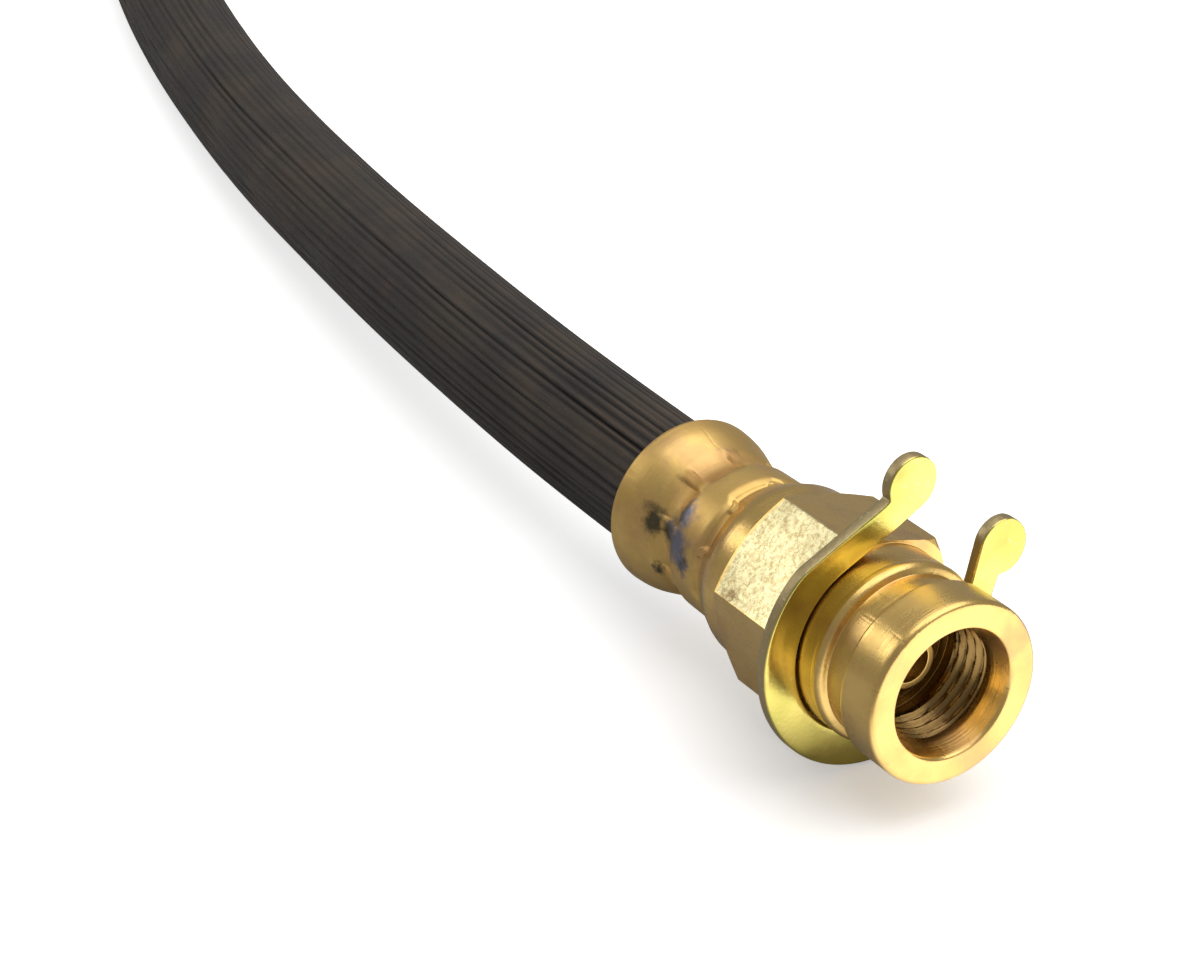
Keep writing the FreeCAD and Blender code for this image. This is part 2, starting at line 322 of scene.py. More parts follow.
def hose_line():
    """Points along the NURBS spline whose control points are the route."""
    curve = bpy.data.curves.new("hose_line", "CURVE")
    curve.dimensions = "3D"
    spline = curve.splines.new("NURBS")
    spline.points.add(len(ROUTE) - 1)
    for point, place in zip(spline.points, ROUTE):
        point.co = (*place, 1.0)
    spline.order_u = 3
    spline.use_endpoint_u = True
    spline.resolution_u = 40
    holder = bpy.data.objects.new("hose_line", curve)
    bpy.context.scene.collection.objects.link(holder)
    mesh = bpy.data.meshes.new_from_object(holder)
    line = np.empty(len(mesh.vertices) * 3)
    mesh.vertices.foreach_get("co", line)
    bpy.data.objects.remove(holder)
    bpy.data.meshes.remove(mesh)
    bpy.data.curves.remove(curve)
    line = line.reshape(-1, 3)
    steps = np.linalg.norm(np.diff(line, axis=0), axis=1)
    return line[np.concatenate([[True], steps > 1e-9])]


def line_length(line):
    """Sum of the steps between a line's points."""
    return float(np.linalg.norm(np.diff(line, axis=0), axis=1).sum())


def tube_points(line, run, radius, angles):
    """C(s) + r(s, a) (cos a side + sin a up), for each s in run and angle a.

    C is the line, side = T x Z and up = side x T, where T is the line's direction.
    """
    steps = np.linalg.norm(np.diff(line, axis=0), axis=1)
    reached = np.concatenate([[0.0], np.cumsum(steps)])
    direction = np.gradient(line, reached, axis=0)
    centre = np.stack([np.interp(run, reached, line[:, k]) for k in range(3)], axis=-1)
    along = np.stack([np.interp(run, reached, direction[:, k]) for k in range(3)], axis=-1)
    along /= np.linalg.norm(along, axis=-1, keepdims=True)
    side = np.cross(along, (0.0, 0.0, 1.0))
    side /= np.linalg.norm(side, axis=-1, keepdims=True)
    up = np.cross(side, along)
    spokes = np.cos(angles)[None, :, None] * side[:, None]
    spokes = spokes + np.sin(angles)[None, :, None] * up[:, None]
    return centre[:, None] + radius[..., None] * spokes


# ---- brass fittings --------------------------------------------------------------------------

TURNED, FLAT, PRESSED, INSIDE, THREAD, MALE = range(6)
COLUMNS = 252


def jaw_mask(angles, sizes):
    """1 where a jaw pressed the shell and 0 in the gaps between two jaws."""
    share = (angles - math.radians(84.0)) / TURN * sizes.jaw_count
    place = share - np.floor(share)
    return window(0.02, 0.78, 0.035, place), np.floor(share)


def step_shift(angles, sizes):
    """How far back the narrow step lies: 0.1 or 0.6 mm by turns, easing over from jaw to jaw."""
    share = (angles - math.radians(80.0)) / TURN * sizes.jaw_count
    number = np.floor(share)
    place = share - number
    here = np.where(np.mod(number, 2) == 0, 0.6, 0.1)
    after = np.where(np.mod(np.mod(number + 1, sizes.jaw_count), 2) == 0, 0.6, 0.1)
    return (here + (after - here) * smooth(0.86, 1.0, place)) * MM


def crimp_change(x, angles, sizes):
    """How far the jaws move the shell's outside in or out.

    In the waist and the narrow step each jaw sinks by its own depth, and the brass between two
    jaws stands up as a low rib. A thin lip stands along the front edge of the narrow step.
    """
    back = -x
    jaws, number = jaw_mask(angles, sizes)
    depth = sizes.jaw_depth * (1 + 0.25 * np.sin(number * 2.4 + 0.6))
    waist = window(WAIST_START - 0.1 * MM, WAIST_END + 0.2 * MM, 0.35 * MM, back)
    start = SHELL_START + step_shift(angles, sizes)
    step = window(start + 0.1 * MM, start + 0.8 * MM, 0.12 * MM, back)
    lip = window(start - 0.02 * MM, start + 0.12 * MM, 0.07 * MM, back)
    rib = (1 - jaws) ** 2
    change = -depth * 0.7 * waist * jaws + 0.12 * MM * waist * rib
    change += -0.12 * MM * step * jaws + 0.16 * MM * step * rib
    change += lip * (0.10 * MM * jaws + 0.06 * MM * rib)
    bell = window(WAIST_END, -RIM - 0.6 * MM, 0.8 * MM, back)
    change += 0.06 * MM * bell * ripple(3, angles, (2, 3, 5))
    bulge = window(SHELL_START + 1.2 * MM, WAIST_START, 0.6 * MM, back)
    return change + 0.05 * MM * bulge * ripple(4, angles, (3, 4, 7))


def hexagon_stations(angles, sizes, phase, inner_radius):
    """Front face, front chamfer, flats and back chamfer of the hexagon.

    The flat's radius is f(a) = half the width / cos(a from the flat's middle). A chamfer meets
    it where the cone's radius is f(a).
    """
    half = sizes.hex_flats / 2
    corner = half / math.cos(math.radians(30))
    sector = np.mod(angles - phase, TURN / 6) - TURN / 12
    flat = half / np.cos(sector)
    face = np.minimum(corner - HEX_CHAMFER, flat)
    lead = np.maximum(flat - (corner - HEX_CHAMFER), 0.0) * 0.6
    back = (flat - half) / (corner - half) * 0.8 * MM
    return [
        (-HEX_START, inner_radius, 0.05 * MM, 4, TURNED),
        (-HEX_START, face, 0.06 * MM, 3, TURNED),
        (-HEX_START - lead, flat, 0.05 * MM, 16, FLAT),
        (-HEX_END - 0.4 * MM + back, flat, 0.07 * MM, 4, TURNED),
        (-HEX_END - 0.4 * MM, half, 0.08 * MM, 8, TURNED),
        (-HEX_END - 2.4 * MM, half - 0.05 * MM, 0.7 * MM, 8, TURNED),
    ]


def shell_stations(angles, sizes, hose):
    """Narrow step, bulge, waist, bell, rolled lip and the pocket inside the shell.

    Every second jaw pressed the narrow step a little further back.
    """
    shift = step_shift(angles, sizes)
    step = sizes.step_radius
    bell = sizes.bell_radius
    throat = hose.radius + 0.05 * MM
    return [
        (-SHELL_START - shift, step + 0.3 * MM, 0.05 * MM, 3, PRESSED),
        (-SHELL_START - shift - 0.08 * MM, step, 0.05 * MM, 8, PRESSED),
        (-SHELL_START - shift - 0.6 * MM, step, 0.2 * MM, 5, PRESSED),
        (-SHELL_START - shift - 1.2 * MM, step + 0.33 * MM, 0.4 * MM, 14, PRESSED),
        (-WAIST_START + 0.2 * MM, step + 0.28 * MM, 0.9 * MM, 6, PRESSED),
        (-(WAIST_START + WAIST_END) / 2, step - 0.1 * MM, 0.9 * MM, 10, PRESSED),
        (-WAIST_END - 0.5 * MM, step + 0.26 * MM, 1.1 * MM, 10, PRESSED),
        (RIM + 1.9 * MM, bell - 0.12 * MM, 1.2 * MM, 6, PRESSED),
        (RIM + 0.25 * MM, bell + 0.02 * MM, 0.35 * MM, 3, PRESSED),
        (RIM, bell - 0.55 * MM, 0.25 * MM, 3, PRESSED),
        (RIM, throat + 0.6 * MM, 0.15 * MM, 4, INSIDE),
        (RIM + 1.3 * MM, throat, 0.3 * MM, 3, INSIDE),
        (RIM + 2.3 * MM, throat, 0.3 * MM, 3, INSIDE),
        (RIM + 3.8 * MM, hose.pocket_radius, 0.3 * MM, 6, INSIDE),
        (-POCKET_BOTTOM, hose.pocket_radius, 0.1 * MM, 4, INSIDE),
    ]


def nose_stations(sizes):
    """Flat nose face, eased edge, ring, groove, ridge and neck."""
    nose = sizes.nose_radius
    return [
        (NOSE_FACE, sizes.counterbore_radius + 0.15 * MM, 0.25 * MM, 8, TURNED),
        (NOSE_FACE, nose, 0.45 * MM, 12, TURNED),
        (-GROOVE_START, nose, 0.22 * MM, 4, TURNED),
        (-GROOVE_START - 0.1 * MM, sizes.groove_radius, 0.08 * MM, 5, TURNED),
        (-RIDGE_START, sizes.groove_radius, 0.06 * MM, 3, TURNED),
        (-RIDGE_START - 0.2 * MM, nose - 0.2 * MM, 0.12 * MM, 3, TURNED),
        (-RIDGE_START - 0.5 * MM, nose + 0.01 * MM, 0.2 * MM, 3, TURNED),
        (-NECK_START, nose - 0.02 * MM, 0.2 * MM, 3, TURNED),
        (-NECK_START - 0.1 * MM, sizes.neck_radius, 0.1 * MM, 8, TURNED),
    ]


def port_stations(sizes):
    """Inside of the port from its bottom out to the mouth."""
    relief = sizes.thread_major + 0.2 * MM
    seat_back = PORT_BOTTOM + SEAT_BASE
    seat_radius = sizes.crest_radius - 0.05 * MM
    return [
        (-POCKET_BOTTOM, BORE_RADIUS, 0.05 * MM, 3, INSIDE),
        (PORT_BOTTOM, BORE_RADIUS, 0.05 * MM, 3, INSIDE),
        (PORT_BOTTOM, seat_radius, 0.05 * MM, 2, INSIDE),
        (seat_back, seat_radius, 0.05 * MM, 2, INSIDE),
        (seat_back, relief, 0.1 * MM, 3, INSIDE),
        (seat_back + 1.0 * MM, relief, 0.1 * MM, 3, INSIDE),
        (seat_back + 1.4 * MM, sizes.crest_radius, 0.03 * MM, 66, THREAD),
        (THREAD_START, sizes.crest_radius, 0.3 * MM, 12, TURNED),
    ]


def thread_depth(x, angles, pitch):
    """Depth from 0 at the crest to 1 at the root of a right-handed thread.

    The saw of x / pitch - a / turn gives the place along one pitch, and the sides are straight.
    """
    share = x / pitch - angles / TURN
    place = np.abs((share - np.floor(share)) * 2 - 1)
    return np.clip(place * 1.35 - 0.12, 0.0, 1.0)


def zone_colours(x, radius, zones, angles, sizes):
    """Red marks the flats, most the one that is worn and painted pale as a highlight, green the
    jaws' marks and blue the inside, which the brass darkens as painted shade.
    """
    shape = radius.shape
    rows = zones[:, None]
    sector = np.floor(np.mod(angles - sizes.hex_phase, TURN) / (TURN / 6))
    # Sector 1 is the flat that faces the back-left softbox; its full mark brings its pale colour,
    # partly wear and partly painted highlight.
    flats = (rows == FLAT) * np.where(sector == 1, 1.0, 0.25)
    jaws, _ = jaw_mask(np.broadcast_to(angles, shape), sizes)
    marks = window(WAIST_START - 0.2 * MM, WAIST_END + 0.4 * MM, 0.4 * MM, -x) * (1 - jaws * 0.35)
    marks = np.maximum(marks, window(SHELL_START, SHELL_START + 0.9 * MM, 0.15 * MM, -x) * 0.8)
    marks = np.maximum(marks, 0.4) * (rows == PRESSED)
    # Blue marks the inside, which the brass material darkens as painted shade.
    inside = np.broadcast_to((rows == INSIDE) | (rows == THREAD), shape)
    return np.stack([flats * 1.0, marks, inside * 1.0], axis=-1)


def fitting_points(stations, angles, sizes):
    """Rows of a fitting with the jaws' marks pressed in, and each point's zone colour."""
    x, radius, zones = outline_grid(stations, len(angles))
    pressed = (zones == PRESSED)[:, None]
    radius = radius + crimp_change(x, angles[None, :], sizes) * pressed
    return x, radius, zones, zone_colours(x, radius, zones, angles[None, :], sizes)


def far_end_place():
    """Turn and move that carry a piece made like the port fitting's to the route's last point."""
    end = Vector(ROUTE[-1])
    way = (end - Vector(ROUTE[-2])).normalized()
    heading = math.atan2(way.y, way.x)
    return Matrix.Translation(end) @ Matrix.Rotation(heading, 4, "Z") @ Matrix.Translation(
        (POCKET_BOTTOM, 0, 0))


def moved(points, place):
    """place applied to every point."""
    turn = np.array(place.to_3x3())
    return points @ turn.T + np.array(place.translation)


def ring_angles(phase=0.0, columns=COLUMNS):
    """Evenly spaced angles round an axis."""
    return phase + np.arange(columns) * TURN / columns


def simple_ring(name, outline, columns=96, place=None, edge=0.06 * MM):
    """Turned ring from a closed outline of (x, radius)."""
    angles = ring_angles(columns=columns)
    stations = [(x, radius, edge, 4, TURNED) for x, radius in outline]
    x, radius, _ = outline_grid(stations, columns)
    points = turned_points(x, radius, angles[None, :])
    if place is not None:
        points = moved(points, place)
    return surface(name, points, uv_size=(1000.0, 40.0))


def stem_outline(front, back):
    """A nipple's wall, with a tapered end at its back."""
    return [(front, STEM_BORE_RADIUS), (front, STEM_RADIUS), (back + 1.0 * MM, STEM_RADIUS),
            (back, 1.3 * MM), (back, STEM_BORE_RADIUS)]


# ---- materials -------------------------------------------------------------------------------

def add_node(tree, kind, inputs=None, **settings):
    """New node with its settings. An input is a number, a colour or another node's output."""
    node = tree.nodes.new(kind)
    for name, value in settings.items():
        setattr(node, name, value)
    for name, value in (inputs or {}).items():
        socket = node.inputs[name]
        if isinstance(value, bpy.types.NodeSocket):
            tree.links.new(value, socket)
        else:
            socket.default_value = value
    return node


def maths(tree, operation, first, second=0.0, clamp=False):
    """Output of one Math node."""
    node = add_node(tree, "ShaderNodeMath", {0: first, 1: second}, operation=operation)
    node.use_clamp = clamp
    return node.outputs[0]


def noise(tree, vector, scale, detail=4.0, roughness=0.55):
    """Output of one noise texture."""
    node = add_node(tree, "ShaderNodeTexNoise",
                    {"Vector": vector, "Scale": scale, "Detail": detail, "Roughness": roughness})
    return node.outputs["Fac"]


def levels(tree, value, low, high):
    """0 at low, 1 at high and clamped between."""
    node = add_node(tree, "ShaderNodeMapRange",
                    {"Value": value, "From Min": low, "From Max": high})
    return node.outputs["Result"]


def blend(tree, amount, first, second, mode="MIX"):
    """Colour mixed from first to second by amount."""
    node = tree.nodes.new("ShaderNodeMix")
    node.data_type = "RGBA"
    node.blend_type = mode
    for socket, value in ((node.inputs[0], amount), (node.inputs[6], first),
                          (node.inputs[7], second)):
        if isinstance(value, bpy.types.NodeSocket):
            tree.links.new(value, socket)
        elif isinstance(value, float):
            socket.default_value = value
        else:
            socket.default_value = (*value, 1.0)
    return node.outputs[2]


def scaled(tree, vector, size, turn=(0, 0, 0), shift=(0, 0, 0)):
    """Vector scaled, turned and then shifted."""
    node = add_node(tree, "ShaderNodeMapping", {"Vector": vector})
    node.inputs["Location"].default_value = shift
    node.inputs["Rotation"].default_value = turn
    node.inputs["Scale"].default_value = size
    return node.outputs[0]


def new_group(name, inputs, outputs):
    """Shader node group with named inputs and outputs. An input is (name, kind, default)."""
    group = bpy.data.node_groups.new(name, "ShaderNodeTree")
    for label, kind, default in inputs:
        socket = group.interface.new_socket(label, in_out="INPUT", socket_type=kind)
        if default is not None:
            socket.default_value = default
    for label, kind in outputs:
        group.interface.new_socket(label, in_out="OUTPUT", socket_type=kind)
    return group, group.nodes.new("NodeGroupInput").outputs, group.nodes.new("NodeGroupOutput")


def use_group(tree, group, inputs):
    """Outputs of a node group placed in tree with its own inputs."""
    node = tree.nodes.new("ShaderNodeGroup")
    node.node_tree = group
    for name, value in inputs.items():
        if isinstance(value, bpy.types.NodeSocket):
            tree.links.new(value, node.inputs[name])
        else:
            node.inputs[name].default_value = value
    return node.outputs


def handling_group():
    """Blotches, fine pits and specks that handling leaves on metal or rubber."""
    group, given, out = new_group(
        "handling", [("Vector", "NodeSocketVector", None), ("Blotch Scale", "NodeSocketFloat", 200),
                     ("Speck Scale", "NodeSocketFloat", 2500)],
        [("Blotch", "NodeSocketFloat"), ("Speck", "NodeSocketFloat"),
         ("Pits", "NodeSocketFloat")])
    wide = noise(group, given["Vector"], given["Blotch Scale"], 5.0, 0.6)
    fine = noise(group, given["Vector"], given["Speck Scale"], 3.0, 0.5)
    group.links.new(levels(group, wide, 0.35, 0.68), out.inputs["Blotch"])
    group.links.new(levels(group, fine, 0.64, 0.74), out.inputs["Speck"])
    group.links.new(fine, out.inputs["Pits"])
    return group


def scratch_group():
    """Thin straight scratches that run along one way, broken up by a wide noise."""
    group, given, out = new_group(
        "scratches", [("Vector", "NodeSocketVector", None), ("Density", "NodeSocketFloat", 900)],
        [("Mask", "NodeSocketFloat")])
    lines = noise(group, scaled(group, given["Vector"], (0.04, 1.0, 1.0)), given["Density"],
                  2.0, 0.4)
    broken = noise(group, given["Vector"], 350.0, 3.0, 0.5)
    mask = maths(group, "MULTIPLY", levels(group, lines, 0.60, 0.70),
                 levels(group, broken, 0.45, 0.60))
    group.links.new(mask, out.inputs["Mask"])
    return group


def tool_mark_group():
    """Fine rings that a turning tool leaves round an axis along X."""
    group, given, out = new_group(
        "tool_marks", [("Vector", "NodeSocketVector", None), ("Density", "NodeSocketFloat", 9000)],
        [("Height", "NodeSocketFloat")])
    rings = noise(group, scaled(group, given["Vector"], (1.0, 0.02, 0.02)), given["Density"],
                  2.0, 0.5)
    group.links.new(rings, out.inputs["Height"])
    return group


def start_material(name, metallic, roughness):
    """Material with its tree, its Principled BSDF and the texture coordinates."""
    material = bpy.data.materials.new(name)
    material.use_nodes = True
    tree = material.node_tree
    shader = tree.nodes["Principled BSDF"]
    shader.inputs["Metallic"].default_value = metallic
    shader.inputs["Roughness"].default_value = roughness
    coordinates = tree.nodes.new("ShaderNodeTexCoord").outputs
    return material, tree, shader, coordinates


def set_bump(tree, shader, height, strength, distance):
    """Feeds the shader's normal from a height."""
    bump = add_node(tree, "ShaderNodeBump", {"Height": height})
    bump.inputs["Strength"].default_value = strength
    bump.inputs["Distance"].default_value = distance
    tree.links.new(bump.outputs[0], shader.inputs["Normal"])


def brass_material(name, sizes, groups, place=None, stain=False):
    """Turned brass: rings from the tool, tarnish in the jaws' marks, scratched flats. One flat is
    painted pale, partly wear and partly painted highlight, and the inside is darkened with painted
    shade.
    """
    material, tree, shader, coordinates = start_material(name, 1.0, 0.2)
    vector = coordinates["Object"]
    if place is not None:
        back = place.inverted()
        vector = scaled(tree, vector, (1, 1, 1), back.to_euler(), back.translation)
    zones = add_node(tree, "ShaderNodeAttribute", attribute_name="zones").outputs["Color"]
    split = add_node(tree, "ShaderNodeSeparateColor", {"Color": zones}).outputs
    flats, marks, inside = split["Red"], split["Green"], split["Blue"]
    handling = use_group(tree, groups["handling"],
                         {"Vector": vector, "Blotch Scale": 260.0, "Speck Scale": 4200.0})
    rings = use_group(tree, groups["tool_marks"], {"Vector": vector, "Density": 8000.0})
    scratches = use_group(tree, groups["scratches"], {"Vector": vector, "Density": 1500.0})
    dark = maths(tree, "MULTIPLY", handling["Blotch"], 0.38)
    dark = maths(tree, "ADD", dark, maths(tree, "MULTIPLY", marks, 0.35), clamp=True)
    dark = maths(tree, "MULTIPLY", dark, maths(tree, "SUBTRACT", 1.0,
                                               maths(tree, "MULTIPLY", flats, 0.7)))
    base = blend(tree, dark, sizes.brass, sizes.tarnish)
    warm = levels(tree, noise(tree, vector, 190.0, 4.0, 0.65), 0.50, 0.64)
    base = blend(tree, maths(tree, "MULTIPLY", warm, 0.5), base, (0.56, 0.33, 0.16))
    # Worn flat, partly wear and partly painted highlight: the flat that faces the back-left softbox
    # is painted a pale, grainy colour with specks and cracks.
    worn_and_highlit = levels(tree, flats, 0.27, 0.6)
    grain = levels(tree, noise(tree, vector, 2600.0, 6.0, 0.8), 0.34, 0.54)
    pale = blend(tree, grain, (0.50, 0.33, 0.11), (0.98, 0.92, 0.55))
    base = blend(tree, maths(tree, "MULTIPLY", worn_and_highlit, 0.9), base, pale)
    crack = maths(tree, "ABSOLUTE", maths(tree, "SUBTRACT", noise(tree, vector, 420.0, 5.0, 0.6),
                                          0.5))
    crack = maths(tree, "MULTIPLY", maths(tree, "SUBTRACT", 1.0, levels(tree, crack, 0.0, 0.012)),
                  worn_and_highlit)
    base = blend(tree, maths(tree, "MULTIPLY", crack, 0.65), base, (0.36, 0.24, 0.08))
    speck = maths(tree, "MULTIPLY", handling["Speck"],
                  maths(tree, "ADD", maths(tree, "MULTIPLY", worn_and_highlit, 0.6), 0.12))
    base = blend(tree, speck, base, (0.45, 0.22, 0.06))
    # Painted shade: the port's inside, its thread and the hose pocket are darkened.
    base = blend(tree, maths(tree, "MULTIPLY", inside, 0.85), base, (0.17, 0.10, 0.035))
    if stain:
        shade = add_node(tree, "ShaderNodeSeparateXYZ", {"Vector": vector}).outputs["X"]
        shade = maths(tree, "MULTIPLY", levels(tree, shade, -0.0285, -0.0262),
                      levels(tree, noise(tree, vector, 500.0, 3.0, 0.6), 0.38, 0.55))
        shade = blend(tree, shade, (0.014, 0.030, 0.034), (0.12, 0.16, 0.26))
        base = blend(tree, stain_mask(tree, vector, STAIN_SPOTS), base, shade)
        base = blend(tree, stain_mask(tree, vector, WORN_SPOTS), base, (0.26, 0.15, 0.06))
    tree.links.new(base, shader.inputs["Base Color"])
    rough = maths(tree, "ADD", 0.21, maths(tree, "MULTIPLY", handling["Blotch"], 0.14))
    rough = maths(tree, "ADD", rough, maths(tree, "MULTIPLY", worn_and_highlit, 0.12))
    rough = maths(tree, "ADD", rough, maths(tree, "MULTIPLY", marks, 0.34))
    tree.links.new(rough, shader.inputs["Roughness"])
    height = maths(tree, "MULTIPLY", rings["Height"], maths(tree, "SUBTRACT", 1.0, flats))
    height = maths(tree, "ADD", height, maths(tree, "MULTIPLY", scratches["Mask"], -0.8))
    height = maths(tree, "ADD", height, maths(tree, "MULTIPLY", handling["Pits"], 0.5))
    set_bump(tree, shader, height, 0.22, 0.00006)
    return material


def stain_mask(tree, vector, spots):
    """Spots of the given places and radii, ragged at their edges."""
    ragged = maths(tree, "SUBTRACT", noise(tree, vector, 900.0, 4.0, 0.7), 0.5)
    ragged = maths(tree, "MULTIPLY", ragged, -2.6 * MM)
    mask = 0.0
    for back, turn, radius, size in spots:
        centre = Vector((-back, radius * math.cos(math.radians(turn)),
                         radius * math.sin(math.radians(turn)))) * MM
        away = add_node(tree, "ShaderNodeVectorMath", {0: vector, 1: centre}, operation="DISTANCE")
        reach = maths(tree, "ADD", away.outputs["Value"], ragged)
        spot = levels(tree, reach, size * MM, size * 0.35 * MM)
        mask = maths(tree, "MAXIMUM", mask, spot)
    return maths(tree, "MULTIPLY", mask, 0.85)


def plating_material(sizes, groups):
    """Yellow zinc plating with an olive tint, and a rough sheared edge."""
    material, tree, shader, coordinates = start_material("yellow_zinc", 1.0, 0.2)
    vector = coordinates["Object"]
    edge = add_node(tree, "ShaderNodeAttribute", attribute_name="zones").outputs["Color"]
    edge = add_node(tree, "ShaderNodeSeparateColor", {"Color": edge}).outputs["Red"]
    handling = use_group(tree, groups["handling"],
                         {"Vector": vector, "Blotch Scale": 170.0, "Speck Scale": 3000.0})
    tint = levels(tree, noise(tree, vector, 110.0, 2.0, 0.5), 0.40, 0.62)
    base = blend(tree, tint, sizes.yellow, sizes.olive)
    brown = levels(tree, noise(tree, vector, 150.0, 3.0, 0.6), 0.52, 0.70)
    base = blend(tree, maths(tree, "MULTIPLY", brown, 0.55), base, (0.36, 0.22, 0.06))
    base = blend(tree, maths(tree, "MULTIPLY", edge, 0.85), base, (0.42, 0.32, 0.19))
    base = blend(tree, maths(tree, "MULTIPLY", handling["Speck"], 0.5), base,
                 (0.80, 0.74, 0.52))
    tree.links.new(base, shader.inputs["Base Color"])
    rough = maths(tree, "ADD", 0.16, maths(tree, "MULTIPLY", edge, 0.22))
    rough = maths(tree, "ADD", rough, maths(tree, "MULTIPLY", handling["Blotch"], 0.08))
    tree.links.new(rough, shader.inputs["Roughness"])
    height = maths(tree, "MULTIPLY", handling["Pits"],
                   maths(tree, "ADD", maths(tree, "MULTIPLY", edge, 1.2), 0.3))
    set_bump(tree, shader, height, 0.3, 0.00008)
    return material


def cover_material(sizes, groups):
    """Matt brown-black rubber: dust in long streaks, scuffs and a few rust spots."""
    material, tree, shader, coordinates = start_material("cover_rubber", 0.0, 0.5)
    shader.inputs["Specular IOR Level"].default_value = 0.32
    vector = coordinates["Object"]
    mapped = coordinates["UV"]
    streaks = noise(tree, scaled(tree, mapped, (0.05, 1.0, 1.0)), 2.0, 5.0, 0.6)
    handling = use_group(tree, groups["handling"],
                         {"Vector": vector, "Blotch Scale": 45.0, "Speck Scale": 1300.0})
    dusty = maths(tree, "MULTIPLY", levels(tree, streaks, 0.44, 0.66), 0.55)
    dusty = maths(tree, "ADD", dusty, maths(tree, "MULTIPLY", handling["Blotch"], 0.10))
    dusty = maths(tree, "ADD", dusty, maths(tree, "MULTIPLY", handling["Speck"], 0.18),
                  clamp=True)
    valley = add_node(tree, "ShaderNodeAttribute", attribute_name="zones").outputs["Color"]
    valley = add_node(tree, "ShaderNodeSeparateColor", {"Color": valley}).outputs["Red"]
    base = blend(tree, dusty, sizes.rubber, sizes.dust)
    earthy = levels(tree, noise(tree, vector, 70.0, 3.0, 0.6), 0.45, 0.70)
    base = blend(tree, maths(tree, "MULTIPLY", earthy, 0.55), base, (0.105, 0.068, 0.040))
    rust = levels(tree, noise(tree, vector, 120.0, 2.0, 0.5), 0.70, 0.80)
    base = blend(tree, maths(tree, "MULTIPLY", rust, 0.5), base, (0.16, 0.07, 0.03))
    # Painted shade: the valleys between the ribs are darkened almost to black.
    base = blend(tree, maths(tree, "MULTIPLY", valley, 0.9), base, (0.008, 0.007, 0.006))
    tree.links.new(base, shader.inputs["Base Color"])
    rough = maths(tree, "ADD", 0.42, maths(tree, "MULTIPLY", dusty, 0.6))
    tree.links.new(rough, shader.inputs["Roughness"])
    lines = noise(tree, scaled(tree, mapped, (0.08, 3.0, 1.0)), 3.0, 3.0, 0.6)
    height = maths(tree, "ADD", lines, maths(tree, "MULTIPLY", handling["Pits"], 0.6))
    set_bump(tree, shader, height, 0.6, 0.0002)
    return material


def lining_material(name, base_colour, groups):
    """Plain smooth rubber of the cushion and the lining."""
    material, tree, shader, coordinates = start_material(name, 0.0, 0.5)
    handling = use_group(tree, groups["handling"],
                         {"Vector": coordinates["Object"], "Blotch Scale": 80.0,
                          "Speck Scale": 1500.0})
    base = blend(tree, maths(tree, "MULTIPLY", handling["Blotch"], 0.4), base_colour,
                 (0.06, 0.055, 0.05))
    tree.links.new(base, shader.inputs["Base Color"])
    set_bump(tree, shader, handling["Pits"], 0.2, 0.0001)
    return material


def yarn_material(sizes, groups):
    """Braided yarn: two sets of slanted strands shade one another."""
    material, tree, shader, coordinates = start_material("braid_yarn", 0.0, 0.8)
    mapped = coordinates["UV"]
    strands = []
    for slant in (math.radians(35), math.radians(-35)):
        wave = add_node(tree, "ShaderNodeTexWave",
                        {"Vector": scaled(tree, mapped, (1, 1, 1), (0, 0, slant)), "Scale": 1.6,
                         "Distortion": 0.4})
        strands.append(wave.outputs["Fac"])
    woven = maths(tree, "MAXIMUM", *strands)
    base = blend(tree, woven, (0.30, 0.26, 0.18), sizes.yarn)
    tree.links.new(base, shader.inputs["Base Color"])
    handling = use_group(tree, groups["handling"], {"Vector": coordinates["Object"]})
    set_bump(tree, shader, maths(tree, "ADD", woven, maths(tree, "MULTIPLY", handling["Pits"],
                                                         0.3)), 0.5, 0.0002)
    return material


def plain_metal(name, base_colour, roughness, groups, oxide):
    """Smooth metal with tool marks and a little oxide in blotches."""
    material, tree, shader, coordinates = start_material(name, 1.0, roughness)
    vector = coordinates["Object"]
    handling = use_group(tree, groups["handling"],
                         {"Vector": vector, "Blotch Scale": 300.0, "Speck Scale": 2500.0})
    rings = use_group(tree, groups["tool_marks"], {"Vector": vector, "Density": 6000.0})
    base = blend(tree, maths(tree, "MULTIPLY", handling["Blotch"], 0.5), base_colour, oxide)
    tree.links.new(base, shader.inputs["Base Color"])
    rough = maths(tree, "ADD", roughness, maths(tree, "MULTIPLY", handling["Blotch"], 0.15))
    tree.links.new(rough, shader.inputs["Roughness"])
    set_bump(tree, shader, rings["Height"], 0.2, 0.00006)
    return material


